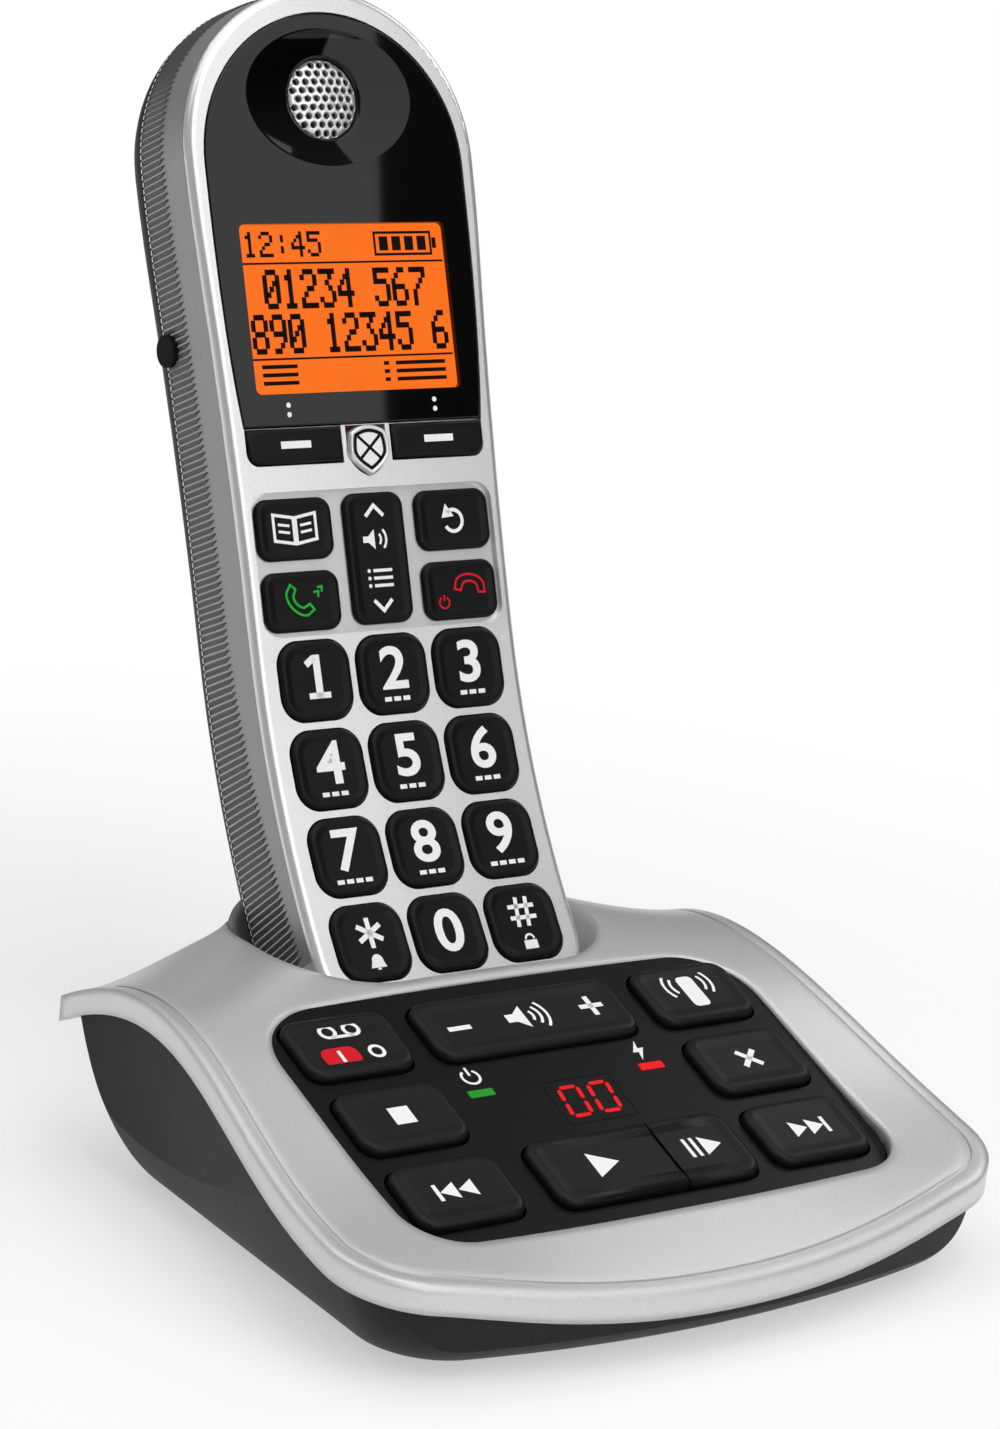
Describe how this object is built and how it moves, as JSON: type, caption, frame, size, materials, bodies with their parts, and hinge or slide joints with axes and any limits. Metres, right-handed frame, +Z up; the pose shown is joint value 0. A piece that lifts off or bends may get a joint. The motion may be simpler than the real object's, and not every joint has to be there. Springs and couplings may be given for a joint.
{
  "type": "answering machine",
  "caption": "Sloping desk answering machine with a raised-key control panel, and a cordless big-button handset that leans back in its charging cradle.",
  "frame": {"origin": "middle of the footprint, on the desk under the feet", "axes": "+X to the right for someone facing the keys, +Y to the rear, +Z up"},
  "size_m": [0.1196, 0.1606, 0.1741],
  "materials": {
    "silver_paint": "satin silver paint",
    "black_plastic": "fine matt texture",
    "panel_black": "satin",
    "key_black": "satin",
    "key_white": "gloss",
    "lens_black": "high gloss",
    "amber_display": "backlit",
    "grille_silver": "satin",
    "led_green": "lit",
    "led_red": "lit",
    "display_red": "lit segments",
    "rubber_black": "matt",
    "rubber_grey": "matt",
    "circuit_board": "satin",
    "speaker_black": "satin",
    "socket_black": "satin",
    "contact_metal": "bright plating",
    "screw_steel": "zinc plated",
    "battery_cell": "gloss sleeve"
  },
  "bodies": {
    "base": {"base_lower_housing": "black_plastic", "base_top_cover": "silver_paint", "cradle_well": "black_plastic", "control_panel": "panel_black", "power_led": "led_green", "charging_led": "led_red", "message_display": "display_red", "base_key_mat": "rubber_grey", "base_circuit_board": "circuit_board", "base_speaker": "speaker_black", "power_socket": "socket_black", "line_socket": "socket_black", "base_charging_contacts": "contact_metal", "base_feet": "rubber_black", "base_screws": "screw_steel"},
    "answer_key": {"answer_key": "key_black"},
    "find_key": {"find_key": "key_black"},
    "stop_key": {"stop_key": "key_black"},
    "delete_key": {"delete_key": "key_black"},
    "skip_back_key": {"skip_back_key": "key_black"},
    "play_key": {"play_key": "key_black"},
    "slow_play_key": {"slow_play_key": "key_black"},
    "skip_forward_key": {"skip_forward_key": "key_black"},
    "volume_key": {"volume_key": "key_black"},
    "handset": {"handset_front_cover": "silver_paint", "handset_back_cover": "black_plastic", "battery_cells": "battery_cell", "battery_contacts": "contact_metal", "display_lens": "lens_black", "lcd_screen": "amber_display", "earpiece_grille": "grille_silver", "earpiece_receiver": "speaker_black", "handset_key_mat": "rubber_grey", "handset_circuit_board": "circuit_board", "handset_charge_contacts": "contact_metal", "microphone": "contact_metal", "loudspeaker": "speaker_black", "headset_bung": "rubber_black", "handset_screws": "screw_steel"},
    "left_soft_key": {"left_soft_key": "key_black"},
    "right_soft_key": {"right_soft_key": "key_black"},
    "block_key": {"block_key": "key_white"},
    "phone_book_key": {"phone_book_key": "key_black"},
    "recall_key": {"recall_key": "key_black"},
    "talk_key": {"talk_key": "key_black"},
    "end_key": {"end_key": "key_black"},
    "handset_volume_key": {"handset_volume_key": "key_black"},
    "key_1": {"key_1": "key_black"},
    "key_2": {"key_2": "key_black"},
    "key_3": {"key_3": "key_black"},
    "key_4": {"key_4": "key_black"},
    "key_5": {"key_5": "key_black"},
    "key_6": {"key_6": "key_black"},
    "key_7": {"key_7": "key_black"},
    "key_8": {"key_8": "key_black"},
    "key_9": {"key_9": "key_black"},
    "key_star": {"key_star": "key_black"},
    "key_0": {"key_0": "key_black"},
    "key_hash": {"key_hash": "key_black"},
    "battery_door": {"battery_door": "black_plastic"}
  },
  "joints": [
    {"name": "answer_key_press", "type": "slide", "parent": "base", "child": "answer_key", "axis": [0, 0.3322, -0.9432], "range_m": [0, 0.0008], "stiffness_N_per_m": 2000},
    {"name": "find_key_press", "type": "slide", "parent": "base", "child": "find_key", "axis": [0, 0.3322, -0.9432], "range_m": [0, 0.0008], "stiffness_N_per_m": 2000},
    {"name": "stop_key_press", "type": "slide", "parent": "base", "child": "stop_key", "axis": [0, 0.3322, -0.9432], "range_m": [0, 0.0008], "stiffness_N_per_m": 2000},
    {"name": "delete_key_press", "type": "slide", "parent": "base", "child": "delete_key", "axis": [0, 0.3322, -0.9432], "range_m": [0, 0.0008], "stiffness_N_per_m": 2000},
    {"name": "skip_back_key_press", "type": "slide", "parent": "base", "child": "skip_back_key", "axis": [0, 0.3322, -0.9432], "range_m": [0, 0.0008], "stiffness_N_per_m": 2000},
    {"name": "play_key_press", "type": "slide", "parent": "base", "child": "play_key", "axis": [0, 0.3322, -0.9432], "range_m": [0, 0.0008], "stiffness_N_per_m": 2000},
    {"name": "slow_play_key_press", "type": "slide", "parent": "base", "child": "slow_play_key", "axis": [0, 0.3322, -0.9432], "range_m": [0, 0.0008], "stiffness_N_per_m": 2000},
    {"name": "skip_forward_key_press", "type": "slide", "parent": "base", "child": "skip_forward_key", "axis": [0, 0.3322, -0.9432], "range_m": [0, 0.0008], "stiffness_N_per_m": 2000},
    {"name": "volume_rock", "type": "hinge", "parent": "base", "child": "volume_key", "pos_m": [0, -0.02136, 0.02595], "axis": [0, 0.9432, 0.3322], "range_deg": [-1.5, 1.5], "stiffness_Nm_per_rad": 0.4},
    {"name": "handset_lift", "type": "slide", "parent": "base", "child": "handset", "axis": [0, 0.5878, 0.809], "range_m": [0, 0.06]},
    {"name": "left_soft_key_press", "type": "slide", "parent": "handset", "child": "left_soft_key", "axis": [0, 0.9317, -0.3633], "range_m": [0, 0.0006], "stiffness_N_per_m": 2000},
    {"name": "right_soft_key_press", "type": "slide", "parent": "handset", "child": "right_soft_key", "axis": [0, 0.9317, -0.3633], "range_m": [0, 0.0006], "stiffness_N_per_m": 2000},
    {"name": "block_key_press", "type": "slide", "parent": "handset", "child": "block_key", "axis": [0, 0.9317, -0.3633], "range_m": [0, 0.0006], "stiffness_N_per_m": 2000},
    {"name": "phone_book_key_press", "type": "slide", "parent": "handset", "child": "phone_book_key", "axis": [0, 0.9317, -0.3633], "range_m": [0, 0.0006], "stiffness_N_per_m": 2000},
    {"name": "recall_key_press", "type": "slide", "parent": "handset", "child": "recall_key", "axis": [0, 0.9317, -0.3633], "range_m": [0, 0.0006], "stiffness_N_per_m": 2000},
    {"name": "talk_key_press", "type": "slide", "parent": "handset", "child": "talk_key", "axis": [0, 0.9317, -0.3633], "range_m": [0, 0.0006], "stiffness_N_per_m": 2000},
    {"name": "end_key_press", "type": "slide", "parent": "handset", "child": "end_key", "axis": [0, 0.9317, -0.3633], "range_m": [0, 0.0006], "stiffness_N_per_m": 2000},
    {"name": "handset_volume_rock", "type": "hinge", "parent": "handset", "child": "handset_volume_key", "pos_m": [0, 0.03068, 0.0884], "axis": [1, 0, 0], "range_deg": [-1.5, 1.5], "stiffness_Nm_per_rad": 0.2},
    {"name": "key_1_press", "type": "slide", "parent": "handset", "child": "key_1", "axis": [0, 0.9157, -0.4019], "range_m": [0, 0.0006], "stiffness_N_per_m": 2000},
    {"name": "key_2_press", "type": "slide", "parent": "handset", "child": "key_2", "axis": [0, 0.9157, -0.4019], "range_m": [0, 0.0006], "stiffness_N_per_m": 2000},
    {"name": "key_3_press", "type": "slide", "parent": "handset", "child": "key_3", "axis": [0, 0.9157, -0.4019], "range_m": [0, 0.0006], "stiffness_N_per_m": 2000},
    {"name": "key_4_press", "type": "slide", "parent": "handset", "child": "key_4", "axis": [0, 0.8747, -0.4846], "range_m": [0, 0.0006], "stiffness_N_per_m": 2000},
    {"name": "key_5_press", "type": "slide", "parent": "handset", "child": "key_5", "axis": [0, 0.8747, -0.4846], "range_m": [0, 0.0006], "stiffness_N_per_m": 2000},
    {"name": "key_6_press", "type": "slide", "parent": "handset", "child": "key_6", "axis": [0, 0.8747, -0.4846], "range_m": [0, 0.0006], "stiffness_N_per_m": 2000},
    {"name": "key_7_press", "type": "slide", "parent": "handset", "child": "key_7", "axis": [0, 0.8263, -0.5632], "range_m": [0, 0.0006], "stiffness_N_per_m": 2000},
    {"name": "key_8_press", "type": "slide", "parent": "handset", "child": "key_8", "axis": [0, 0.8263, -0.5632], "range_m": [0, 0.0006], "stiffness_N_per_m": 2000},
    {"name": "key_9_press", "type": "slide", "parent": "handset", "child": "key_9", "axis": [0, 0.8263, -0.5632], "range_m": [0, 0.0006], "stiffness_N_per_m": 2000},
    {"name": "key_star_press", "type": "slide", "parent": "handset", "child": "key_star", "axis": [0, 0.7708, -0.637], "range_m": [0, 0.0006], "stiffness_N_per_m": 2000},
    {"name": "key_0_press", "type": "slide", "parent": "handset", "child": "key_0", "axis": [0, 0.7708, -0.637], "range_m": [0, 0.0006], "stiffness_N_per_m": 2000},
    {"name": "key_hash_press", "type": "slide", "parent": "handset", "child": "key_hash", "axis": [0, 0.7708, -0.637], "range_m": [0, 0.0006], "stiffness_N_per_m": 2000},
    {"name": "battery_door_lift", "type": "slide", "parent": "handset", "child": "battery_door", "axis": [0, 0.9317, -0.3633], "range_m": [0, 0.02]}
  ]
}
